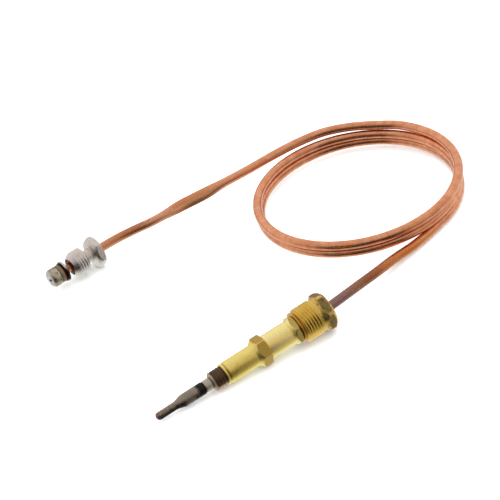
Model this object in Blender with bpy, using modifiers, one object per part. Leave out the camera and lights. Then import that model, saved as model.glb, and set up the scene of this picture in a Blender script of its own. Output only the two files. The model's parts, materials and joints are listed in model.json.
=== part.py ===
"""Flame-failure thermocouple for a gas pilot burner, lying on a flat surface.

The hot end lies along +X, from its tip at -X to the rear of its gland nut at +X. It rests on
its gland nut and on a corner of its front hex, so its axis rises a little towards the nut.
The copper lead leaves the gland nut, lies in one stacked coil and ends in the valve
connection, which screws into the gas valve. Stations along each turned end are
measured from that end's own front, in millimetres.
"""

from math import ceil, cos, pi, radians

import bpy
from mathutils import Matrix, Vector

MM = 0.001
FIT = 0.1  # radial clearance of one fitted piece in another, in mm
SIDES = 30  # facets round a turned piece
SLIM_SIDES = 18  # and round one thinner than SLIM_R
SLIM_R = 2.5

# Hot end
HOT_LENGTH = 65.0
TIP = Vector((-32.6, 0.0, 1.97))
HOT_PITCH = 4.29  # degrees that its axis rises towards the gland nut
FRONT_HEX_ROLL = 9.0  # degrees that each hex is rolled from flat side down
REAR_HEX_ROLL = 35.0
GLAND_HEX_ROLL = 23.0
STEM_R = 1.32
SHEATH_R = 2.08
BODY_R = 3.65
REAR_R = 4.1
HEX_AF = 9.0
GLAND_AF = 12.0
GLAND_THREAD_R = 5.85
THREAD_PITCH = 1.0
THREAD_DEPTH = 0.5
GLAND_BORE_R = 2.4

# Lead
LEAD_R = 1.6
CORE_R = 0.5
COIL_CENTRE = Vector((77.4, 50.3, 0.0))
COIL_R = 35.3
COIL_HEIGHT = 11.3
COIL_SIDES = 54
HOT_ROUTE = (
    (13.27, 0.0, 5.41), (22.0, 0.0, 6.07), (28.5, 0.05, 6.55), (33.0, 0.25, 6.85), (37.0, 0.85, 6.92),
    (42.3, 2.2, 6.55), (48.6, 4.4, 5.6), (55.0, 6.6, 4.6), (61.5, 9.0, 3.6), (66.5, 10.75, 2.8),
    (70.3, 11.75, 2.35),
)

# Valve end
VALVE_FRONT = Vector((-26.42, 88.07, 5.65))
VALVE_TURN = 7.93  # degrees that its axis is turned from +X towards +Y
NUT_AF = 10.4
NUT_HEX_ROLL = 48.0
NUT_THREAD_R = 4.5
NUT_BORE_R = 1.85
VALVE_ROUTE = (
    (-20.57, 88.88, 5.65), (-10.29, 90.32, 5.65), (-4.79, 91.07, 5.65), (0.21, 91.42, 5.74), (4.64, 91.34, 5.86),
    (9.87, 90.72, 6.1), (15.5, 89.89, 6.33), (21.14, 89.6, 6.64), (28.48, 89.51, 6.95), (36.92, 88.75, 7.37),
    (45.65, 88.57, 7.81), (54.58, 88.14, 8.25), (64.1, 88.0, 8.8), (67.0, 87.9, 9.0),
)

COPPER = ((0.60, 0.24, 0.13), 0.30, 1.0)
BRASS = ((0.62, 0.47, 0.16), 0.28, 1.0)
NICKEL = ((0.62, 0.60, 0.56), 0.30, 1.0)
SCORCHED = ((0.11, 0.06, 0.05), 0.55, 0.8)
SHEATH = ((0.12, 0.10, 0.08), 0.42, 0.9)
FERRULE = ((0.42, 0.38, 0.35), 0.40, 1.0)
SOLDER = ((0.70, 0.70, 0.70), 0.25, 1.0)
CERAMIC = ((0.80, 0.78, 0.72), 0.70, 0.0)
FIBRE = ((0.03, 0.02, 0.015), 0.60, 0.0)
CONTACT = ((0.36, 0.32, 0.23), 0.42, 1.0)


def clear_scene():
    for obj in list(bpy.data.objects):
        bpy.data.objects.remove(obj)


def collection(name):
    made = bpy.data.collections.new(name)
    bpy.context.scene.collection.children.link(made)
    return made


def material(name, look):
    colour, roughness, metallic = look
    made = bpy.data.materials.new(name)
    made.use_nodes = True
    shader = made.node_tree.nodes["Principled BSDF"]
    shader.inputs["Base Color"].default_value = (*colour, 1.0)
    shader.inputs["Roughness"].default_value = roughness
    shader.inputs["Metallic"].default_value = metallic
    return made


def axis_frame(name, front, turn_degrees, pitch_degrees):
    """An empty at a turned end's front, whose local Z runs back along that end's axis."""
    empty = bpy.data.objects.new(name, None)
    empty.matrix_world = (
        Matrix.Translation(front * MM)
        @ Matrix.Rotation(radians(turn_degrees), 4, "Z")
        @ Matrix.Rotation(pi / 2 - radians(pitch_degrees), 4, "Y")
    )
    PARTS.objects.link(empty)
    return empty


def add_screw(obj, sides):
    screw = obj.modifiers.new("turn", "SCREW")
    screw.axis = "Z"
    screw.steps = screw.render_steps = sides
    screw.use_merge_vertices = True
    screw.merge_threshold = 1e-6
    screw.use_smooth_shade = True


def profile_object(name, points, closed, holder, sides):
    """A turned shape from (radius, station) points, which run down its outer side first."""
    mesh = bpy.data.meshes.new(name)
    verts = [(r * MM, 0.0, z * MM) for r, z in points]
    edges = [(i, i + 1) for i in range(len(verts) - 1)]
    if closed:
        edges.append((len(verts) - 1, 0))
    mesh.from_pydata(verts, edges, [])
    obj = bpy.data.objects.new(name, mesh)
    holder.objects.link(obj)
    add_screw(obj, sides)
    return obj


def turned(name, frame, look, outer, bore=None):
    """A turned piece. outer and bore list (station, radius) from front to back."""
    down = [(r, z) for z, r in reversed(outer)]
    if bore:
        points = down + [(r, z) for z, r in bore]
    else:
        points = [(0.0, outer[-1][0]), *down, (0.0, outer[0][0])]
    slim = max(r for _, r in outer) < SLIM_R
    obj = profile_object(name, points, bool(bore), PARTS, SLIM_SIDES if slim else SIDES)
    obj.parent = frame
    obj.data.materials.append(material(name, look))
    return obj


def tube(name, frame, look, start, end, radius, bore_radius):
    return turned(name, frame, look, [(start, radius), (end, radius)],
                  [(start, bore_radius), (end, bore_radius)])


def rod(name, frame, look, start, end, radius):
    return turned(name, frame, look, [(start, radius), (end, radius)])


def thread(start, end, crest, depth, pitch):
    """Ring-shaped thread ridges, as (station, radius) points."""
    points = []
    for i in range(round((end - start) / pitch)):
        z = start + i * pitch
        points += [(z, crest - depth), (z + 0.4 * pitch, crest), (z + 0.6 * pitch, crest)]
    return [*points, (end, crest - depth)]


def cut_hex(obj, start, end, across_flats, roll_degrees):
    """Mills six flats on a turned piece between two stations, rolled from flat side down."""
    corner = across_flats / 2 / cos(pi / 6)
    points = [(2 * corner, end), (2 * corner, start), (corner, start), (corner, end)]
    cutter = profile_object(obj.name + "_flats", points, True, CUTTERS, 6)
    cutter.parent = obj.parent
    cutter.rotation_euler.z = pi / 6 - radians(roll_degrees)
    cutter.hide_render = True
    cutter.display_type = "WIRE"
    cut = obj.modifiers.new("flats", "BOOLEAN")
    cut.object = cutter


def smooth_route(points, spacing):
    """Evenly spaced points on a Catmull-Rom curve through the given ones."""
    knots = [Vector(p) for p in points]
    knots = [2 * knots[0] - knots[1], *knots, 2 * knots[-1] - knots[-2]]
    fine = []
    for a, b, c, d in zip(knots, knots[1:], knots[2:], knots[3:]):
        for i in range(20):
            t = i / 20
            fine.append(0.5 * (2 * b + (c - a) * t + (2 * a - 5 * b + 4 * c - d) * t**2
                               + (3 * b - a - 3 * c + d) * t**3))
    fine.append(knots[-2])
    lengths = [0.0]
    for a, b in zip(fine, fine[1:]):
        lengths.append(lengths[-1] + (b - a).length)
    count = ceil(lengths[-1] / spacing)
    picked, j = [], 0
    for i in range(count + 1):
        goal = lengths[-1] * i / count
        while j < len(fine) - 2 and lengths[j + 1] < goal:
            j += 1
        t = (goal - lengths[j]) / (lengths[j + 1] - lengths[j])
        picked.append(fine[j].lerp(fine[j + 1], t))
    return picked


def lead_tube(name, route):
    curve = bpy.data.curves.new(name, "CURVE")
    curve.dimensions = "3D"
    curve.bevel_depth = LEAD_R * MM
    curve.bevel_resolution = 2
    curve.use_fill_caps = True
    points = smooth_route(route, 4 * LEAD_R)
    spline = curve.splines.new("POLY")
    spline.points.add(len(points) - 1)
    for place, point in zip(spline.points, points):
        place.co = (*(point * MM), 1.0)
    spline.use_smooth = True
    obj = bpy.data.objects.new(name, curve)
    PARTS.objects.link(obj)
    curve.materials.append(material(name, COPPER))


def make_probe(frame):
    """The element: a swaged sheath round the inner wire, welded to it at the tip."""
    turned("junction_weld", frame, SHEATH,
           [(0.0, 0.55), (0.2, 0.98), (0.55, 1.25), (0.95, STEM_R)])
    turned("probe_sheath", frame, SHEATH,
           [(1.05, STEM_R), (7.3, STEM_R), (8.3, 1.58), (9.3, 1.94), (10.0, SHEATH_R),
            (17.45, SHEATH_R), (17.65, 1.9), (17.65, 1.5), (27.0, 1.5)],
           [(1.05, 0.7), (9.4, 0.7), (10.4, 1.25), (27.0, 1.25)])
    rod("element_wire", frame, FERRULE, 1.05, 41.6, CORE_R)
    tube("sheath_insulator", frame, CERAMIC, 11.0, 30.0, 1.1, CORE_R + FIT)
    turned("sheath_collar", frame, FERRULE,
           [(17.75, 1.85), (17.95, 2.0), (20.2, 2.0), (20.4, 1.9)],
           [(17.75, 1.5 + FIT), (20.4, 1.5 + FIT)])


def make_body(frame):
    """The nose bush, the two brass bodies and the crimped joint that they enclose."""
    turned("nose_bush", frame, SCORCHED,
           [(20.5, 2.8), *thread(21.0, 25.0, 3.2, 0.25, THREAD_PITCH)],
           [(20.5, 1.5 + FIT), (25.0, 1.5 + FIT)])
    body = turned("probe_body", frame, BRASS,
                  [(25.1, 3.45), (25.25, 3.6), (25.75, 3.6), (25.85, 3.3), (26.25, 3.3), (26.4, BODY_R),
                   (36.7, BODY_R), (36.7, 4.15), (37.6, 5.05), (39.9, 5.05),
                   (40.9, 4.3), (40.9, 3.4), (44.0, 3.4)],
                  [(25.1, 1.5 + FIT), (30.2, 1.5 + FIT), (31.0, 2.2), (44.0, 2.2)])
    cut_hex(body, 36.6, 41.4, HEX_AF, FRONT_HEX_ROLL)
    rear = turned("rear_body", frame, BRASS,
                  [(41.0, 3.95), (41.2, REAR_R), (49.7, REAR_R), (49.8, 3.85), (50.1, 3.85),
                   (51.2, 5.08), (52.2, 5.08), (52.75, 4.5)],
                  [(41.0, 3.4 + FIT), (44.1, 3.4 + FIT), (44.1, 2.6), (50.2, 2.6), (50.8, LEAD_R + FIT),
                   (51.6, LEAD_R + FIT), (51.9, 2.3), (52.75, 2.3)])
    cut_hex(rear, 50.0, 53.2, HEX_AF, REAR_HEX_ROLL)
    tube("splice_insulator", frame, CERAMIC, 38.5, 45.7, 2.0, 1.2)
    tube("splice_sleeve", frame, FERRULE, 39.6, 45.0, 1.1, CORE_R + FIT)
    rod("core_wire_hot", frame, COPPER, 41.8, 45.8, CORE_R)
    tube("lead_braze", frame, SOLDER, 52.0, 52.65, 2.2, LEAD_R + FIT)


def make_gland(frame):
    tube("slip_washer", frame, BRASS, 52.9, 53.35, 5.4, GLAND_BORE_R)
    nut = turned("gland_nut", frame, BRASS,
                 [(53.5, 4.9), *thread(53.8, 59.8, GLAND_THREAD_R, THREAD_DEPTH, THREAD_PITCH),
                  (59.9, 5.4), (61.0, 5.4), (62.15, 6.55), (63.6, 6.55), (HOT_LENGTH, 5.3)],
                 [(53.5, 2.8), (53.9, GLAND_BORE_R), (64.2, GLAND_BORE_R), (HOT_LENGTH, 3.0)])
    cut_hex(nut, 60.9, 65.4, GLAND_AF, GLAND_HEX_ROLL)


def make_valve_end(frame):
    """The insulated contact, the flange that the union nut presses on, and the nut."""
    turned("contact_solder", frame, SOLDER, [(-0.75, 0.35), (-0.6, 0.8), (-0.3, 1.1), (0.1, 1.2)])
    turned("contact_button", frame, CONTACT, [(0.0, 2.8), (0.45, 3.3), (3.1, 3.3), (3.35, 3.1)],
           [(0.0, 1.3), (0.2, 1.3), (0.2, CORE_R + FIT), (3.35, CORE_R + FIT)])
    tube("contact_washer", frame, COPPER, 3.45, 4.95, 3.2, CORE_R + FIT)
    tube("insulating_washer", frame, FIBRE, 5.05, 5.5, 3.55, CORE_R + FIT)
    turned("tail_flange", frame, NICKEL,
           [(5.6, 3.65), (5.75, 3.8), (6.25, 3.8), (6.4, 3.65), (6.4, 2.3), (7.0, 1.9)],
           [(5.6, CORE_R + FIT), (5.8, CORE_R + FIT), (5.8, LEAD_R + FIT), (7.0, LEAD_R + FIT)])
    rod("core_wire_valve", frame, COPPER, 0.2, 5.75, CORE_R)
    nut = turned("union_nut", frame, NICKEL,
                 [(8.7, 3.4), (9.9, 4.2), *thread(10.2, 14.2, NUT_THREAD_R, THREAD_DEPTH, THREAD_PITCH),
                  (14.2, 2.45), (17.6, 2.45), (17.6, 4.6), (18.8, 5.85), (20.2, 5.85), (20.6, 5.3)],
                 [(8.7, 2.8), (11.0, 2.5), (11.6, NUT_BORE_R), (20.4, NUT_BORE_R), (20.6, 2.05)])
    cut_hex(nut, 17.5, 20.9, NUT_AF, NUT_HEX_ROLL)


def make_coil():
    """The outer shape of the stacked turns, as one turned ring."""
    inner, outer = COIL_R - LEAD_R - 0.2, COIL_R + LEAD_R + 0.2
    top, edge = COIL_HEIGHT, 1.1
    points = [(outer - edge, top), (outer, top - edge), (outer, edge), (outer - edge, 0.0),
              (inner + edge, 0.0), (inner, edge), (inner, top - edge), (inner + edge, top)]
    ring = profile_object("lead_coil", points, True, PARTS, COIL_SIDES)
    ring.location = COIL_CENTRE * MM
    ring.data.materials.append(material("lead_coil", COPPER))


def main():
    hot_end = axis_frame("hot_end_axis", TIP, 0.0, HOT_PITCH)
    make_probe(hot_end)
    make_body(hot_end)
    make_gland(hot_end)
    lead_tube("lead_hot_tail", HOT_ROUTE)
    make_coil()
    lead_tube("lead_valve_tail", VALVE_ROUTE)
    make_valve_end(axis_frame("valve_end_axis", VALVE_FRONT, VALVE_TURN, 0.0))


clear_scene()
PARTS = collection("thermocouple")
CUTTERS = collection("cutters")
main()
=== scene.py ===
"""Looks for a thermocouple: a brass hot end, a coiled copper lead and a nickel union nut."""

import json
import math
from functools import partial

import bmesh
import bpy
import numpy as np
from mathutils import Matrix, Vector


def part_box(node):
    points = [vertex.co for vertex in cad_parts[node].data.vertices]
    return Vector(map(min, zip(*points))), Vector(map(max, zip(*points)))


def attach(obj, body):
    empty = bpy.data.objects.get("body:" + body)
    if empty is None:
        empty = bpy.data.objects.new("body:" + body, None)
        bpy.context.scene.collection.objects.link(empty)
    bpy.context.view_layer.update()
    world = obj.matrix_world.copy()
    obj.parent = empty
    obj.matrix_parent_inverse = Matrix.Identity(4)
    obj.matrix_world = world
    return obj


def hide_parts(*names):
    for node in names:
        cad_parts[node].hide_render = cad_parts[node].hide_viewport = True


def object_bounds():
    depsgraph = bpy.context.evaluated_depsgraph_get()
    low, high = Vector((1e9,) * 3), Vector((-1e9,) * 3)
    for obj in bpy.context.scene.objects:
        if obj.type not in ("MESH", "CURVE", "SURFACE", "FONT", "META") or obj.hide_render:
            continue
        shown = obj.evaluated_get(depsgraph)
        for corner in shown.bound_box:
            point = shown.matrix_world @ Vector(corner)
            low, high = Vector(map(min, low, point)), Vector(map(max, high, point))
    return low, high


MM = 0.001

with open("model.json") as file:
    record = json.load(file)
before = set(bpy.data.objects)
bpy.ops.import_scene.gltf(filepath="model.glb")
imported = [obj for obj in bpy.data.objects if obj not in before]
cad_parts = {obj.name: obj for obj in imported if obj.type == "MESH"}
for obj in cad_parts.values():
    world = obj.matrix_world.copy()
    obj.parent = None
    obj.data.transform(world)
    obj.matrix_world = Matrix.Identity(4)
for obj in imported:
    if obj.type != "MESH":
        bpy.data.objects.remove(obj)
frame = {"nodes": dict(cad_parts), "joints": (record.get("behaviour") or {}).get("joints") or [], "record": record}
CAD_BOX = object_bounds()

# ---------------------------------------------------------------- places from the CAD
# A station is a distance in mm along a turned end's axis, from its front.

SPIN_STATION = 60.0  # of the gland nut's joint
REAR_BODY_END = 52.75


def named(items, name):
    return next(item for item in items if item["name"] == name)


def axis_place(front, axis):
    """A frame at front, whose local X runs along a turned end's axis."""
    turn = Matrix.Rotation(math.atan2(axis.y, axis.x), 4, "Z")
    return Matrix.Translation(front) @ turn @ Matrix.Rotation(-math.asin(axis.z), 4, "Y")


GLAND_SPIN = named(frame["joints"], "gland_spin")
HOT_AXIS = Vector(GLAND_SPIN["axis"])
HOT_FRONT = Vector(GLAND_SPIN["pos_m"]) - SPIN_STATION * MM * HOT_AXIS
LEAD_EXIT = HOT_FRONT + REAR_BODY_END * MM * HOT_AXIS
UNION_AXIS = Vector(named(frame["joints"], "union_slide")["axis"])
VALVE_FRONT = Vector(named(frame["record"]["mounts"], "valve_contact")["pos_m"])
VALVE_FRONT.z = (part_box("union_nut")[0].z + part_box("union_nut")[1].z) / 2
HOT_FRAME = axis_place(HOT_FRONT, HOT_AXIS)
VALVE_FRAME = axis_place(VALVE_FRONT, UNION_AXIS)

# ---------------------------------------------------------------- turned and cut shapes
# A row is one ring of a turned piece: its station and its radius in mm, which is one number or
# one for each of angles(). Angles run upwards from the horizontal on the camera's side.

SECTOR = 26  # vertices across one side of a hex
PITCH = 1.0
RUN_OUT = 0.6
SHARP = math.radians(38)


def angles(facet_degrees):
    """Six sectors, closely sampled at a hex's corners, for a facet that faces facet_degrees."""
    s = np.linspace(-1, 1, SECTOR, endpoint=False)
    sector = 30.0 * (1.5 * s - 0.5 * s**3)
    return np.radians(np.concatenate([facet_degrees + 60 * k + sector for k in range(6)]))


def soft_min(a, b, k=0.05):
    low = np.minimum(a, b)
    return low - k * np.log(np.exp(-(a - low) / k) + np.exp(-(b - low) / k))


def rows(profile, radius=0.12):
    """The profile's rows, with each corner turned into a small curve."""
    points = [np.array(p, float) for p in profile]
    made = [points[0]]
    for before, here, after in zip(points, points[1:], points[2:]):
        back, on = before - here, after - here
        cut = min(radius, 0.45 * np.linalg.norm(back), 0.45 * np.linalg.norm(on))
        a = here + back / np.linalg.norm(back) * cut
        b = here + on / np.linalg.norm(on) * cut
        for t in np.linspace(0, 1, 4):
            made.append((1 - t) ** 2 * a + 2 * t * (1 - t) * here + t * t * b)
    return [(p[0], p[1]) for p in (*made, points[-1])]


def dome(front, depth, radius):
    """A closed round end, from its front to its full radius."""
    turns = np.linspace(0.08, math.pi / 2, 10)
    return [(front + depth * (1 - math.cos(t)), radius * math.sin(t)) for t in turns]


def hex_rows(start, end, af, face, front_r, rear_r, corner_r, slope):
    """A hex between two flat ends, its corners turned off by a cone at each end."""
    length = end - start
    near = np.linspace(0, 0.42 * length, 12)
    stations = np.concatenate([start + near, [start + length / 2], end - near[::-1]])
    flat = np.radians((np.degrees(angles(face)) - face + 30) % 60 - 30)
    across = af / 2 / np.cos(flat)
    made = []
    for s in stations:
        envelope = min(front_r + slope * (s - start), rear_r + slope * (end - s), corner_r)
        made.append((s, soft_min(across, np.full_like(across, envelope))))
    return made


def thread_rows(start, end, crest, depth, face, lead_in):
    """A right-handed thread that starts at a chamfer and runs out before its end."""
    turn = angles(face)
    made = []
    for s in np.arange(start, end + 1e-6, PITCH / 12):
        wave = np.abs(2 * ((s / PITCH + turn / (2 * math.pi)) % 1.0) - 1)
        cut = np.clip(1.4 * wave - 0.4, 0, 1) * np.clip((end - s) / RUN_OUT, 0, 1)
        chamfer = crest - depth * 1.1 + (s - start) * depth * 1.2 / lead_in
        made.append((s, soft_min(crest - depth * cut, np.full_like(turn, chamfer), 0.03)))
    return made


def join_rings(bm, first, second):
    """Faces between two rings of as many vertices."""
    for i, here in enumerate(first):
        after = (i + 1) % len(first)
        bm.faces.new((here, first[after], second[after], second[i]))


def turned_mesh(name, outer, bore, turn):
    """A turned solid from its outer rows and its bore's rows, both front to rear."""
    bm = bmesh.new()
    rings = []
    for station, radius in (*outer, *reversed(bore)):
        r = np.broadcast_to(radius, len(turn)) * MM
        ring = [(station * MM, -a * math.cos(t), a * math.sin(t)) for a, t in zip(r, turn)]
        rings.append([bm.verts.new(point) for point in ring])
    if bore:
        rings.append(rings[0])
    else:
        for ring in (rings[0], rings[-1]):
            hub = bm.verts.new((ring[0].co.x, 0.0, 0.0))
            for here, after in zip(ring, [*ring[1:], ring[0]]):
                bm.faces.new((here, after, hub))
    for first, second in zip(rings, rings[1:]):
        join_rings(bm, first, second)
    bmesh.ops.remove_doubles(bm, verts=bm.verts, dist=2e-7)
    return closed_mesh(bm, name, SHARP)


def closed_mesh(bm, name, sharp):
    """The finished mesh, faces outwards and shaded smooth up to the angle sharp."""
    bmesh.ops.recalc_face_normals(bm, faces=bm.faces)
    mesh = bpy.data.meshes.new(name)
    bm.to_mesh(mesh)
    bm.free()
    mesh.shade_smooth()
    mesh.set_sharp_from_angle(angle=sharp)
    return mesh


def add_turned(node, place, outer, bore, look, face, body):
    """The turned piece that stands for one CAD node."""
    name = node + "_turned"
    obj = bpy.data.objects.new(name, turned_mesh(name, outer, bore, angles(face)))
    obj.matrix_world = place
    bpy.context.scene.collection.objects.link(obj)
    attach(obj, body)
    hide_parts(node)
    obj.data.materials.append(look)
    return obj


# ---------------------------------------------------------------- materials


def linear(rgb):
    """An sRGB colour of 0 to 255 as linear values of 0 to 1."""
    values = (v / 255 for v in rgb)
    return tuple(c / 12.92 if c <= 0.04045 else ((c + 0.055) / 1.055) ** 2.4 for c in values)


def add_node(tree, kind, inputs=None, **settings):
    """A new node: a socket given as an input is linked, any other value is set."""
    node = tree.nodes.new(kind)
    for key, value in settings.items():
        setattr(node, key, value)
    for key, value in (inputs or {}).items():
        if isinstance(value, bpy.types.NodeSocket):
            tree.links.new(value, node.inputs[key])
        else:
            node.inputs[key].default_value = value
    return node


def fill_ramp(node, stops):
    elements = node.color_ramp.elements
    for i, (at, colour) in enumerate(stops):
        element = elements[i] if i < 2 else elements.new(at)
        element.position = at
        element.color = (*colour, 1.0)


class Nodes:
    """A small builder for one material's node tree."""

    def __init__(self, name):
        self.material = bpy.data.materials.new(name)
        self.material.use_nodes = True
        self.tree = self.material.node_tree
        self.add = partial(add_node, self.tree)
        self.place = self.add("ShaderNodeTexCoord").outputs["Object"]
        self.x, self.y, self.z = self.add("ShaderNodeSeparateXYZ", {"Vector": self.place}).outputs

    def maths(self, operation, a, b=0.0):
        return self.add("ShaderNodeMath", {0: a, 1: b}, operation=operation).outputs[0]

    def vector(self, operation, output, a, b=(0.0, 0.0, 0.0)):
        return self.add("ShaderNodeVectorMath", {0: a, 1: b}, operation=operation).outputs[output]

    def noise(self, per_mm, detail=4.0):
        inputs = {"Vector": self.place, "Scale": per_mm / MM, "Detail": detail, "Roughness": 0.55}
        return self.add("ShaderNodeTexNoise", inputs).outputs["Fac"]

    def lines(self, per_mm):
        """Noise along the axis only: the rings that turning leaves."""
        inputs = {"W": self.x, "Scale": per_mm / MM, "Detail": 2.0}
        return self.add("ShaderNodeTexNoise", inputs, noise_dimensions="1D").outputs["Fac"]

    def span(self, value, low, high, to_low=0.0, to_high=1.0, smooth=True):
        """The value's place between low and high, from to_low to to_high."""
        kind = "SMOOTHSTEP" if smooth else "LINEAR"
        inputs = {"Value": value, "From Min": low, "From Max": high, "To Min": to_low, "To Max": to_high}
        return self.add("ShaderNodeMapRange", inputs, interpolation_type=kind).outputs[0]

    def within(self, value, start, end, soft):
        """1 between start and end, in mm, with edges that are soft over twice soft."""
        low = self.span(value, (start - soft) * MM, (start + soft) * MM)
        high = self.span(value, (end - soft) * MM, (end + soft) * MM, 1.0, 0.0)
        return self.maths("MULTIPLY", low, high)

    def ramp(self, value, *stops):
        node = self.add("ShaderNodeValToRGB", {"Fac": value})
        fill_ramp(node, [(at, linear(rgb)) for at, rgb in stops])
        return node.outputs["Color"]

    def chart(self, value, stops):
        """A ramp whose stops are places in mm."""
        first, last = stops[0][0], stops[-1][0]
        share = self.span(value, first * MM, last * MM, smooth=False)
        return self.ramp(share, *(((at - first) / (last - first), rgb) for at, rgb in stops))

    def mix(self, share, colour, tint):
        """The colour with a share of a fixed tint or of another colour in it."""
        node = self.add("ShaderNodeMix", {"Factor": share}, data_type="RGBA")
        self.tree.links.new(colour, node.inputs[6])
        if isinstance(tint, bpy.types.NodeSocket):
            self.tree.links.new(tint, node.inputs[7])
        else:
            node.inputs[7].default_value = (*linear(tint), 1.0)
        return node.outputs[2]

    def bump(self, height, depth_mm, under=None):
        inputs = {"Height": height, "Distance": depth_mm * MM, "Strength": 1.0}
        if under is not None:
            inputs["Normal"] = under
        return self.add("ShaderNodeBump", inputs).outputs[0]

    def facing(self, kind):
        """1 on faces along the axis (flat) or towards the front (face)."""
        normal = self.add("ShaderNodeTexCoord").outputs["Normal"]
        tilt = self.add("ShaderNodeSeparateXYZ", {0: normal}).outputs["X"]
        if kind == "flat":
            return self.span(self.maths("ABSOLUTE", tilt), 0.15, 0.4, 1.0, 0.0)
        return self.span(tilt, -0.7, -0.3, 1.0, 0.0)

    def mask(self, kind, start, end):
        """Where a tint of turned_metal shows."""
        drift = self.maths("MULTIPLY", self.span(self.noise(1.1), 0.2, 0.8, -0.4, 0.4), MM)
        if kind == "radius":
            flat = self.add("ShaderNodeCombineXYZ", {"X": 0.0, "Y": self.y, "Z": self.z})
            return self.within(self.vector("LENGTH", "Value", flat.outputs[0]), start, end, 0.06)
        if kind == "z":
            return self.within(self.maths("ADD", self.z, drift), start, end, 0.6)
        if kind == "fade":
            return self.within(self.maths("ADD", self.x, drift), start, end, 0.5)
        along = self.within(self.x, start, end, 0.04)
        if kind == "spots":
            return self.maths("MULTIPLY", along, self.span(self.noise(0.8, 3.0), 0.5, 0.62))
        if kind in ("flat", "face"):
            return self.maths("MULTIPLY", along, self.facing(kind))
        return along

    def finish(self, colour, roughness, normal=None, metallic=1.0):
        put = {"Base Color": colour, "Roughness": roughness, "Metallic": metallic, "Normal": normal}
        for key, value in put.items():
            if isinstance(value, bpy.types.NodeSocket):
                self.tree.links.new(value, self.shader_input(key))
            elif value is not None:
                self.shader_input(key).default_value = value
        return self.material

    def shader_input(self, key):
        return self.tree.nodes["Principled BSDF"].inputs[key]


def turned_metal(name, light, mid, dark, roughness=(0.2, 0.34), tints=()):
    """Turned metal: a colour that drifts, rings from the tool, fine scratches and local tints, many of which are
    painted highlights, painted reflections and painted shade.

    A tint is (kind, from, to, colour, share): kind x is a stretch of the axis in mm, fade one with
    soft ends, spots the spots in one, flat its flats, face its faces towards the front, radius and
    z the distances from the axis and above it.
    """
    n = Nodes(name)
    tool = n.lines(9.0)
    colour = n.ramp(n.noise(0.35, 3.0), (0.3, mid), (0.7, light))
    colour = n.mix(n.span(n.noise(1.3, 5.0), 0.5, 0.8, 0.0, 0.35), colour, dark)
    colour = n.mix(n.span(tool, 0.35, 0.75, 0.0, 0.25), colour, mid)
    for kind, start, end, tint, share in tints:
        colour = n.mix(n.maths("MULTIPLY", n.mask(kind, start, end), share), colour, tint)
    rough = n.span(n.noise(2.1), 0.3, 0.7, *roughness)
    normal = n.bump(n.noise(3.0, 3.0), 0.003, n.bump(tool, 0.003))
    return n.finish(colour, rough, normal)


# The lead's colour at each distance from the hot end, in mm.
HEAT = (
    (13, (142, 108, 104)), (20, (140, 106, 100)), (24, (144, 102, 82)), (28, (142, 94, 68)),
    (33, (146, 88, 58)), (37, (168, 100, 62)), (42, (190, 116, 66)), (55, (208, 124, 66)),
    (64, (222, 144, 84)),
)
# The lead's colour along X, in mm, on its way to the valve end, lighter and darker by stretches.
VALVE_STRETCH_TONE = (
    (-20, (150, 92, 70)), (-12, (160, 100, 78)), (-5, (206, 142, 102)), (2, (192, 124, 86)),
    (8, (178, 112, 78)), (12, (180, 116, 84)), (15, (214, 154, 122)), (21, (216, 156, 124)),
    (27, (204, 134, 92)), (36, (208, 140, 96)), (42, (220, 150, 114)), (60, (226, 158, 118)),
)


def lower_side(n, valve_stretch, colour):
    """The valve stretch's lower side: a painted sheen just below its middle, painted shade underneath."""
    axis_height = n.span(n.x, 0.0, 80 * MM, 5.7 * MM, 9.5 * MM, smooth=False)
    height = n.maths("SUBTRACT", n.z, axis_height)
    painted_sheen = n.maths("MULTIPLY", valve_stretch, n.within(height, -0.8, 0.45, 0.25))
    colour = n.mix(n.maths("MULTIPLY", painted_sheen, 0.75), colour, (236, 168, 124))
    painted_underside_shade = n.maths("MULTIPLY", valve_stretch, n.span(height, -1.3 * MM, -0.9 * MM, 0.6, 0.0))
    return n.mix(painted_underside_shade, colour, (150, 100, 76))


def copper_lead(name):
    """Drawn copper: blued and browned by the burner's heat at one end, lighter and darker by stretches along the
    other, with a painted sheen and painted shade on its lower side there.
    """
    n = Nodes(name)
    spots = n.noise(1.6, 5.0)
    colour = n.ramp(n.noise(0.4), (0.28, (206, 132, 92)), (0.5, (220, 148, 108)), (0.72, (232, 168, 130)))
    from_exit = n.vector("DISTANCE", "Value", n.place, tuple(LEAD_EXIT))
    heat = n.chart(n.maths("ADD", from_exit, n.span(spots, 0.3, 0.7, -2.5 * MM, 2.5 * MM)), HEAT)
    colour = n.mix(n.span(n.y, 10.5 * MM, 15.5 * MM, 1.0, 0.0), colour, heat)
    valve_stretch_tone = n.chart(n.maths("ADD", n.x, n.span(spots, 0.3, 0.7, -3 * MM, 3 * MM)), VALVE_STRETCH_TONE)
    beyond_coil = n.span(n.y, 80 * MM, 86 * MM)
    valve_stretch = n.maths("MULTIPLY", beyond_coil, n.span(n.x, 45 * MM, 65 * MM, 1.0, 0.0))
    colour = n.mix(n.maths("MULTIPLY", valve_stretch, 0.9), colour, valve_stretch_tone)
    colour = n.mix(n.span(spots, 0.56, 0.76, 0.0, 0.45), colour, (150, 84, 50))
    colour = n.mix(n.span(n.noise(0.9, 3.0), 0.6, 0.8, 0.0, 0.35), colour, (244, 196, 164))
    colour = lower_side(n, valve_stretch, colour)
    rough = n.span(n.noise(1.4), 0.3, 0.7, 0.15, 0.28)
    return n.finish(colour, rough, n.bump(n.noise(0.5, 3.0), 0.02))


# ---------------------------------------------------------------- camera, light, floor

CAMERA_PLACE = (-0.15871, -0.41556, 0.3465)
CAMERA_HEADING = math.radians(22.322)  # from +Y towards +X
CAMERA_DOWN = math.radians(34.19)
CAMERA_ROLL = math.radians(15.2)
TO_CAMERA = (-math.sin(CAMERA_HEADING), -math.cos(CAMERA_HEADING), 0.0)

WHITE = (1, 1, 1, 1)
TENT_LIGHT = 1.9
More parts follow.
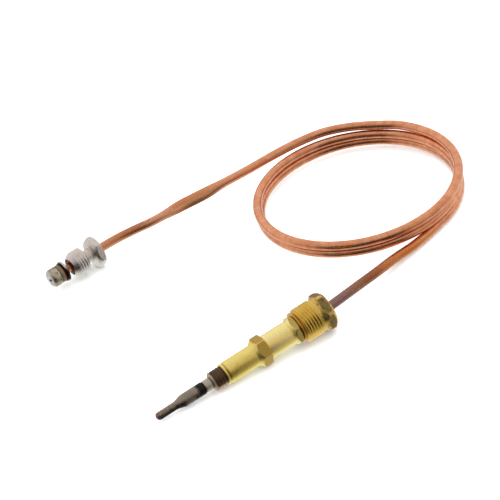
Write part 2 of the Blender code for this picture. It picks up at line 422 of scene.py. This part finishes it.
# The walls' brightness at each angle round the part: 0 is the horizon behind the camera, 90 is up.
ROOM = (
    (-180, 0.9), (-120, 1.0), (-90, 0.95), (-70, 0.86), (-52, 0.62), (-35, 0.57), (-10, 0.5),
    (2, 0.47), (12, 0.6), (25, 0.66), (60, 0.73), (97, 0.85), (140, 1.0), (180, 0.9),
)
# The dark opening that the camera looks through.
GAP = (-0.56, -0.83, 0.0)  # the direction of its middle
GAP_SIDES = (0.64, 0.82)  # cosines of the angle from its middle: outside it, inside it
GAP_LOWER_EDGE = (-0.75, -0.5)  # heights: outside it, inside it
GAP_UPPER_EDGE = (0.75, 0.2)
GAP_LIGHT = 0.07


def add_camera():
    """The photograph's viewpoint: from the tip's side, a lens of about 130 mm, turned a little."""
    data = bpy.data.cameras.new("camera")
    data.lens = 129.8
    data.sensor_width = 36.0
    data.clip_start = 0.05
    camera = bpy.data.objects.new("camera", data)
    aimed = Matrix.Rotation(-CAMERA_HEADING, 4, "Z") @ Matrix.Rotation(math.pi / 2 - CAMERA_DOWN, 4, "X")
    rolled = aimed @ Matrix.Rotation(-CAMERA_ROLL, 4, "Z")
    camera.matrix_world = Matrix.Translation(CAMERA_PLACE) @ rolled
    bpy.context.scene.collection.objects.link(camera)
    bpy.context.scene.camera = camera


def wall_colour(node, place, height):
    """ROOM's brightness in each direction."""
    towards = node("ShaderNodeVectorMath", {0: place, 1: TO_CAMERA}, operation="DOT_PRODUCT")
    angle = node("ShaderNodeMath", {0: height, 1: towards.outputs["Value"]}, operation="ARCTAN2")
    turn = {"Value": angle.outputs[0], "From Min": -math.pi, "From Max": math.pi}
    ramp = node("ShaderNodeValToRGB", {"Fac": node("ShaderNodeMapRange", turn).outputs[0]})
    fill_ramp(ramp, [((degrees + 180) / 360, (level,) * 3) for degrees, level in ROOM])
    return ramp.outputs["Color"]


def wall_strength(node, place, height):
    """1 in each direction but the dark opening's."""
    def edge(value, limits):
        inputs = {"Value": value, "From Min": limits[0], "From Max": limits[1]}
        return node("ShaderNodeMapRange", inputs).outputs[0]

    level = node("ShaderNodeVectorMath", {0: place, 1: (1, 1, 0)}, operation="MULTIPLY")
    level = node("ShaderNodeVectorMath", {0: level.outputs[0]}, operation="NORMALIZE")
    across = node("ShaderNodeVectorMath", {0: level.outputs[0], 1: GAP}, operation="DOT_PRODUCT")
    gap = edge(across.outputs["Value"], GAP_SIDES)
    for limits in (GAP_LOWER_EDGE, GAP_UPPER_EDGE):
        gap = node("ShaderNodeMath", {0: gap, 1: edge(height, limits)}, operation="MULTIPLY").outputs[0]
    return node("ShaderNodeMapRange", {"Value": gap, "To Min": 1.0, "To Max": GAP_LIGHT}).outputs[0]


def add_studio():
    """A light tent: reflections see its walls and its dark opening, the floor gets even light."""
    scene = bpy.context.scene
    scene.view_settings.view_transform = "Standard"
    scene.world = bpy.data.worlds.new("studio")
    scene.world.use_nodes = True
    tree = scene.world.node_tree
    node = partial(add_node, tree)
    place = node("ShaderNodeTexCoord").outputs["Generated"]
    height = node("ShaderNodeSeparateXYZ", {0: place}).outputs["Z"]
    walls = {"Color": wall_colour(node, place, height), "Strength": wall_strength(node, place, height)}
    walls = node("ShaderNodeBackground", walls).outputs[0]
    tent = node("ShaderNodeBackground", {"Color": WHITE, "Strength": TENT_LIGHT}).outputs[0]
    backdrop = node("ShaderNodeBackground", {"Color": WHITE, "Strength": 1.0}).outputs[0]
    ray = node("ShaderNodeLightPath").outputs
    lit = node("ShaderNodeMixShader", {0: ray["Is Glossy Ray"], 1: tent, 2: walls}).outputs[0]
    seen = node("ShaderNodeMixShader", {0: ray["Is Camera Ray"], 1: lit, 2: backdrop}).outputs[0]
    tree.links.new(seen, tree.nodes["World Output"].inputs["Surface"])


def add_overhead():
    """A soft light above and behind the part."""
    data = bpy.data.lights.new("overhead", "AREA")
    data.shape = "RECTANGLE"
    data.size, data.size_y = 1.2, 0.9
    data.energy = 2.5
    light = bpy.data.objects.new("overhead", data)
    middle = (CAD_BOX[0] + CAD_BOX[1]) / 2
    place = middle + Vector((0.1, 0.25, 0.9))
    light.location = place
    light.rotation_mode = "QUATERNION"
    light.rotation_quaternion = (middle - place).to_track_quat("-Z", "Y")
    light.visible_glossy = False
    bpy.context.scene.collection.objects.link(light)


def add_floor():
    """A plain pale floor, a hair under the part."""
    mesh = bpy.data.meshes.new("floor")
    bm = bmesh.new()
    bmesh.ops.create_grid(bm, x_segments=1, y_segments=1, size=1.6)
    bm.to_mesh(mesh)
    bm.free()
    floor = bpy.data.objects.new("floor", mesh)
    floor.location = (0.04, 0.05, CAD_BOX[0].z - 0.02 * MM)
    bpy.context.scene.collection.objects.link(floor)
    n = Nodes("floor")
    tone = n.ramp(n.noise(0.02, 2.0), (0.3, (249, 249, 248)), (0.7, (251, 251, 251)))
    floor.data.materials.append(n.finish(tone, 0.6, metallic=0.0))
    floor.visible_glossy = False


# ---------------------------------------------------------------- the lead
# Its route is in mm: the hot stretch, the coil's turns, and the valve stretch from its far end.

LEAD_R = 1.6
LEAD_SIDES = 24
LEAD_STEP = 1.3
LEAD_SHARP = math.radians(50)

COIL_CENTRE = Vector((77.38, 50.28, 0.0))
COIL_START = -75.12  # degrees
COIL_TURN = 840  # degrees
COIL_STEP = 12
COIL_R = 34.8
TOP_COIL_R = 35.3
WIDENS_FROM, WIDENS_OVER = 420, 180  # degrees, from COIL_R to TOP_COIL_R
DENT, DENT_AT, DENT_REACH = 0.95, 480, 45  # mm inwards, and degrees

# The pressed stretch: mm from the valve end, its reach, and how its section changes there.
PRESSED_AT, PRESSED_REACH = 53.5, 10.0
PRESSED_WIDER, PRESSED_THINNER = 0.34, 0.38
PRESSED_LEAN = math.radians(54)  # of its wide side, from the horizontal

HOT_ROUTE = (
    (13.27, 0.0, 5.41), (22.0, 0.0, 6.07), (28.5, 0.05, 6.55), (33.0, 0.25, 6.85), (37.0, 0.85, 6.92),
    (42.3, 2.2, 6.55), (48.6, 4.4, 5.6), (55.0, 6.6, 4.6), (61.5, 9.0, 3.6), (66.5, 10.75, 2.8),
    (70.3, 11.75, 2.35), (73.5, 12.6, 2.0), (80.4, 14.6, 1.66),
)
VALVE_ROUTE = (
    (-20.57, 88.88, 5.65), (-10.29, 90.32, 5.65), (-4.79, 91.07, 5.65), (0.21, 91.42, 5.74),
    (4.64, 91.34, 5.86), (9.87, 90.72, 6.1), (15.5, 89.89, 6.33), (21.14, 89.6, 6.64),
    (28.48, 89.51, 6.95), (36.92, 88.75, 7.37), (45.65, 88.57, 7.81), (54.58, 88.14, 8.25),
    (64.1, 88.0, 8.8), (72.9, 87.4, 9.4), (78.9, 86.9, 9.5), (85.4, 85.8, 9.5),
    (90.8, 83.6, 9.4), (95.7, 80.7, 9.2), (100.2, 76.8, 9.1),
)


def coil_points():
    """The coil, turn by turn, from the hot end's strand to where it opens out towards the valve."""
    made = []
    for degrees in range(0, COIL_TURN, COIL_STEP):
        turn = math.radians(COIL_START + degrees)
        share = min(max((degrees - WIDENS_FROM) / WIDENS_OVER, 0), 1)
        radius = COIL_R + (TOP_COIL_R - COIL_R) * share
        radius -= DENT * math.exp(-(((degrees - DENT_AT) / DENT_REACH) ** 2))
        rise = LEAD_R + 2 * LEAD_R * degrees / 360
        made.append(COIL_CENTRE + Vector((radius * math.cos(turn), radius * math.sin(turn), rise)))
    return made


def smooth(points, step):
    """A Catmull-Rom curve through the points, sampled evenly, and the distances along it."""
    p = [np.array(q, float) for q in points]
    p = [2 * p[0] - p[1], *p, 2 * p[-1] - p[-2]]
    fine = []
    for a, b, c, d in zip(p, p[1:], p[2:], p[3:]):
        for t in np.arange(0, 1, 0.02):
            fine.append(0.5 * (2 * b + (c - a) * t + (2 * a - 5 * b + 4 * c - d) * t**2
                               + (3 * b - a - 3 * c + d) * t**3))
    fine = np.array([*fine, p[-2]])
    along = np.concatenate([[0], np.cumsum(np.linalg.norm(np.diff(fine, axis=0), axis=1))])
    at = np.linspace(0, along[-1], int(along[-1] / step) + 1)
    return np.stack([np.interp(at, along, fine[:, k]) for k in range(3)], 1), at


def lead_sections(path, along):
    """The two half axes of the tube's section at each point of its path."""
    tangent = np.gradient(path, axis=0)
    tangent /= np.linalg.norm(tangent, axis=1)[:, None]
    side = np.cross(tangent, (0, 0, 1.0))
    side /= np.linalg.norm(side, axis=1)[:, None]
    lift = np.cross(side, tangent)
    from_valve = along[-1] - along
    pressed = np.exp(-(((from_valve - PRESSED_AT) / PRESSED_REACH) ** 4))[:, None]
    cos, sin = math.cos(PRESSED_LEAN), math.sin(PRESSED_LEAN)
    wide = LEAD_R * (1 + PRESSED_WIDER * pressed) * (side * cos + lift * sin)
    thin = LEAD_R * (1 - PRESSED_THINNER * pressed) * (lift * cos - side * sin)
    return wide, thin


def add_lead():
    """One tube in place of the lead's three CAD nodes, with its path and its length."""
    route = [Vector(p) for p in HOT_ROUTE] + coil_points() + [Vector(p) for p in reversed(VALVE_ROUTE)]
    path, along = smooth(route, LEAD_STEP)
    turn = np.linspace(0, 2 * math.pi, LEAD_SIDES, endpoint=False)
    bm = bmesh.new()
    rings = []
    for point, wide, thin in zip(path, *lead_sections(path, along)):
        ring = [(point + wide * math.cos(a) + thin * math.sin(a)) * MM for a in turn]
        rings.append([bm.verts.new(v) for v in ring])
    for first, second in zip(rings, rings[1:]):
        join_rings(bm, first, second)
    bm.faces.new(rings[0])
    bm.faces.new(rings[-1])
    obj = bpy.data.objects.new("lead_tube", closed_mesh(bm, "lead_tube", LEAD_SHARP))
    bpy.context.scene.collection.objects.link(obj)
    obj.data.materials.append(copper_lead("drawn_copper"))
    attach(obj, "root")
    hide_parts("lead_hot_tail", "lead_coil", "lead_valve_tail")
    return obj, path * MM, along[-1] * MM


# ---------------------------------------------------------------- the hot end

FRONT_FACE = 39.0  # degrees at which each hex's nearest facet faces
REAR_FACE = 5.0
GLAND_FACE = 53.0
BODY_AF = 9.0  # across flats
GLAND_AF = 12.0


def hot(node, outer, bore, look, face=FRONT_FACE, body="root"):
    add_turned(node, HOT_FRAME, outer, bore, look, face, body)


def add_probe():
    """The weld at the tip and the swaged sheath."""
    weld = turned_metal("weld_bead", (150, 118, 112), (118, 88, 84), (60, 44, 42))
    hot("junction_weld", dome(0.0, 0.95, 1.3), (), weld)
    # Painted light on the sheath: the lighter tints above and below the axis and the dark band across its middle
    # are painted reflections. The fades lighten it from 10.4 mm and darken it to near-black from 15.2 mm towards
    # the collar.
    scorched_and_painted_sheath = turned_metal("scorched_sheath_painted_light", (104, 92, 80), (86, 76, 64), (44, 36, 34), (0.25, 0.42), (
        ("z", 0.9, 4.0, (150, 134, 120), 0.85),
        ("z", -0.9, 0.4, (44, 33, 31), 0.85),
        ("z", -4.0, -1.3, (158, 154, 146), 0.8),
        ("fade", 10.4, 13.5, (128, 120, 106), 0.6),
        ("fade", 15.2, 19.0, (32, 31, 30), 0.97),
    ))
    outer = rows([(1.05, 1.24), (1.2, 1.32), (6.9, 1.32), (7.5, 1.38), (9.7, 2.02), (10.2, 2.08),
                  (17.4, 2.08), (17.65, 1.9), (17.65, 1.5), (27.0, 1.5)], 0.2)
    bore = rows([(1.05, 0.7), (9.4, 0.7), (10.4, 1.25), (27.0, 1.25)])
    hot("probe_sheath", outer, bore, scorched_and_painted_sheath)


def add_nose():
    """The pale collar and the dark ribbed bush that hold the sheath."""
    ferrule = turned_metal("ferrule", (186, 174, 158), (168, 156, 140), (116, 100, 90), (0.3, 0.45))
    hot("sheath_collar", rows([(17.75, 1.7), (17.85, 1.92), (18.1, 2.0), (20.1, 2.0), (20.4, 1.9)]),
        rows([(17.75, 1.6), (20.4, 1.6)]), ferrule)
    # Painted light on the bush: its front face is painted lighter, and the lighter tint below the axis is a
    # painted reflection.
    bush = turned_metal("scorched_bush_painted_light", (92, 70, 52), (76, 58, 44), (40, 30, 26), (0.35, 0.55), (
        ("face", 20.4, 21.0, (176, 164, 142), 0.9),
        ("z", -4.0, -0.9, (204, 168, 138), 0.8),
    ))
    stations = np.arange(21.0, 24.95, 0.08)
    ribs = [(s, 3.14 + 0.06 * math.cos(2 * math.pi * (s - 20.95))) for s in stations]
    outer = [*rows([(20.5, 2.2), (20.5, 2.75), (20.95, 3.1)]), *ribs, *rows([(25.0, 3.1), (25.0, 2.9)])]
    hot("nose_bush", outer, rows([(20.5, 1.6), (25.0, 1.6)]), bush)


def add_front_body():
    # Painted light: the dark tint at 25.8 to 26.3 mm is painted shade in the groove, the lighter tints below and
    # above the axis are painted reflections, the hex's flats carry painted shade and its corners painted
    # highlights.
    brass = turned_metal("turned_brass", (230, 198, 106), (220, 189, 92), (176, 140, 60), tints=(
        ("x", 25.8, 26.3, (126, 94, 44), 0.75),
        ("z", -4.2, -0.6, (240, 228, 124), 0.8),
        ("z", 3.0, 4.2, (240, 222, 140), 0.6),
        ("flat", 36.9, 41.0, (168, 134, 62), 0.9),
        ("radius", 5.07, 5.3, (232, 196, 112), 0.7),
    ))
    outer = [
        *rows([(25.1, 3.4), (25.2, 3.6), (25.75, 3.6), (25.85, 3.3), (26.25, 3.3), (26.4, 3.65),
               (36.6, 3.65)]),
        *hex_rows(36.65, 40.9, BODY_AF, FRONT_FACE, 3.7, 4.9, 5.12, 1.0),
        *rows([(40.9, 3.5), (40.95, 3.4), (44.0, 3.4)]),
    ]
    bore = rows([(25.1, 1.6), (30.2, 1.6), (31.0, 2.2), (44.0, 2.2)])
    hot("probe_body", outer, bore, brass)


def add_rear_body():
    # Painted light: the lighter tints below and above the axis are painted reflections, and the hex's flats carry
    # painted shade.
    pale = turned_metal("pale_brass", (242, 214, 138), (236, 206, 124), (200, 168, 92), tints=(
        ("z", -4.6, -0.7, (246, 236, 148), 0.8),
        ("z", 3.4, 5.0, (246, 232, 164), 0.6),
        ("flat", 50.2, 53.0, (178, 150, 72), 0.9),
    ))
    outer = [
        *rows([(41.0, 3.9), (41.2, 4.1), (49.7, 4.1), (49.8, 3.85), (50.1, 3.85)]),
        *hex_rows(50.15, REAR_BODY_END, BODY_AF, REAR_FACE, 3.9, 4.5, 5.08, 1.1),
    ]
    bore = rows([(41.0, 3.5), (44.1, 3.5), (44.1, 2.6), (50.2, 2.6), (50.8, 1.7), (51.6, 1.7),
                 (51.9, 2.3), (REAR_BODY_END, 2.3)])
    hot("rear_body", outer, bore, pale, REAR_FACE)


def add_gland():
    """The slip washer and the gland nut, loose on the lead."""
    washer = turned_metal("washer_brass", (206, 164, 96), (186, 144, 82), (140, 100, 56))
    hot("slip_washer", rows([(52.9, 5.25), (52.98, 5.4), (53.28, 5.4), (53.35, 5.3)], 0.05),
        rows([(52.9, 2.4), (53.35, 2.4)]), washer, body="slip_washer")
    # Painted light: the lighter tint below the axis is a painted reflection, the darker tint 5.2 to 5.5 mm from
    # the axis is painted shade on the land before the head, the head's flats carry painted shade and its corners
    # painted highlights.
    gland = turned_metal("gland_brass", (220, 182, 84), (206, 164, 70), (160, 114, 48), tints=(
        ("z", -6.0, -0.6, (236, 204, 104), 0.7),
        ("radius", 5.2, 5.5, (168, 116, 44), 0.25),
        ("fade", 60.0, 61.0, (214, 182, 104), 0.9),
        ("x", 61.0, 65.5, (212, 172, 84), 0.9),
        ("flat", 61.1, 64.9, (120, 103, 66), 0.94),
        ("radius", 6.6, 7.0, (232, 190, 112), 0.8),
        ("spots", 61.1, 64.9, (92, 70, 46), 0.6),
    ))
    outer = [
        *rows([(53.5, 4.7), (53.55, 4.8), (54.1, 5.5)]),
        *thread_rows(54.15, 59.9, 5.85, 0.26, GLAND_FACE, 0.3),
        *rows([(60.0, 5.4), (60.95, 5.4)]),
        *hex_rows(61.0, 65.0, GLAND_AF, GLAND_FACE, 5.42, 5.5, 6.68, 1.0),
    ]
    bore = rows([(53.5, 2.8), (53.9, 2.4), (64.2, 2.4), (65.0, 3.0)])
    hot("gland_nut", outer, bore, gland, GLAND_FACE, "gland_nut")


# ---------------------------------------------------------------- the valve end

NUT_FACE = 18.0
NUT_AF = 10.4
NICKEL = ((214, 204, 198), (200, 189, 181), (168, 156, 148))


def valve(node, outer, bore, look, body="root"):
    return add_turned(node, VALVE_FRAME, outer, bore, look, NUT_FACE, body)


def add_contact():
    """The contact with its drop of solder."""
    solder = turned_metal("solder", (226, 228, 226), (206, 208, 204), (140, 140, 136))
    button = turned_metal("contact_metal", (190, 176, 156), (178, 163, 144), (130, 112, 96), (0.28, 0.45), (
        ("face", -0.1, 0.4, (190, 188, 178), 0.9),
        ("spots", 0.3, 3.4, (118, 104, 84), 0.6),
        ("spots", 2.3, 3.6, (66, 128, 92), 0.85),
    ))
    return [
        valve("contact_solder", dome(-0.75, 0.85, 1.25), (), solder),
        valve("contact_button", rows([(0.0, 2.5), (0.3, 2.9), (0.95, 3.3), (3.0, 3.3), (3.35, 3.1)], 0.3),
              rows([(0.0, 1.3), (0.2, 1.3), (0.2, 0.6), (3.35, 0.6)], 0.03), button),
    ]


def add_washers():
    """The corroded copper washer, the fibre washer and the flange on the tube."""
    copper = turned_metal("contact_copper", (176, 120, 98), (150, 96, 76), (96, 60, 44), (0.35, 0.5), (
        ("fade", 3.2, 4.1, (120, 130, 108), 0.8),
        ("spots", 3.3, 5.1, (66, 124, 92), 0.85),
    ))
    fibre = turned_metal("fibre", (56, 36, 28), (40, 26, 20), (20, 14, 12))
    # The flange's near-black band across its middle heights is a painted dark reflection on the nickel.
    flange_dark_reflection = turned_metal("flange_painted_reflection", *NICKEL, tints=(("z", -2.2, 2.4, (40, 26, 20), 0.95),))
    return [
        valve("contact_washer", rows([(3.45, 3.0), (3.55, 3.2), (4.85, 3.2), (4.95, 3.05)]),
              rows([(3.45, 0.6), (4.95, 0.6)]), copper),
        valve("insulating_washer", rows([(5.05, 3.3), (5.12, 3.5), (5.43, 3.5), (5.5, 3.4)]),
              rows([(5.05, 0.6), (5.5, 0.6)]), fibre),
        valve("tail_flange",
              rows([(5.6, 3.65), (5.75, 3.8), (6.25, 3.8), (6.4, 3.65), (6.4, 2.3), (7.0, 1.9)], 0.08),
              rows([(5.6, 0.6), (5.8, 0.6), (5.8, 1.7), (7.0, 1.7)], 0.03), flange_dark_reflection),
    ]


def add_union_nut():
    # Painted light: the paler, greener tint below the axis is a painted reflection.
    nickel = turned_metal("nickel_plate", *NICKEL, (0.22, 0.34), (("z", -7.0, -1.0, (212, 214, 200), 0.7),))
    outer = [
        *rows([(8.7, 3.25), (8.78, 3.4), (10.3, 4.42)]),
        *thread_rows(10.4, 14.2, 4.6, 0.2, NUT_FACE, 0.8),
        *rows([(14.3, 4.4), (14.4, 2.5), (14.6, 2.45), (17.5, 2.45), (17.6, 2.6)]),
        *hex_rows(17.62, 20.6, NUT_AF, NUT_FACE, 4.6, 5.2, 5.9, 1.05),
    ]
    bore = rows([(8.7, 2.95), (11.4, 2.5), (11.8, 1.85), (20.4, 1.85), (20.6, 2.05)])
    return valve("union_nut", outer, bore, nickel, "union_nut")


# ---------------------------------------------------------------- the pieces inside

INNER_NODES = ("element_wire", "sheath_insulator", "splice_sleeve", "splice_insulator", "core_wire_hot",
               "core_wire_valve", "lead_braze")


def dress_inner_nodes():
    """The pieces hidden inside keep their CAD shape and get their own metals and ceramic."""
    looks = {
        "element_alloy": turned_metal("element_wire_metal", (190, 180, 168), (160, 150, 140), (100, 92, 84)),
        "ferrule_alloy": turned_metal("crimp_metal", (206, 200, 190), (176, 168, 160), (110, 100, 92)),
        "copper": turned_metal("core_copper", (232, 164, 132), (214, 142, 108), (150, 84, 54)),
        "solder": turned_metal("braze_metal", (236, 224, 190), (214, 196, 150), (150, 130, 90)),
    }
    n = Nodes("inner_ceramic")
    tone = n.ramp(n.noise(1.0), (0.3, (214, 208, 196)), (0.7, (232, 228, 218)))
    looks["ceramic"] = n.finish(tone, n.span(n.noise(3.0), 0.3, 0.7, 0.55, 0.75), metallic=0.0)
    slots = {s["node"]: s["material_slot"] for s in frame["record"]["subparts"]}
    for node in INNER_NODES:
        for place in frame["nodes"][node].material_slots:
            place.link = "OBJECT"
            place.material = looks[slots[node]]


add_camera()
add_studio()
add_overhead()
add_floor()
lead, lead_path, lead_length = add_lead()
add_probe()
add_nose()
add_front_body()
add_rear_body()
add_gland()
valve_end = [*add_contact(), *add_washers(), add_union_nut()]
dress_inner_nodes()
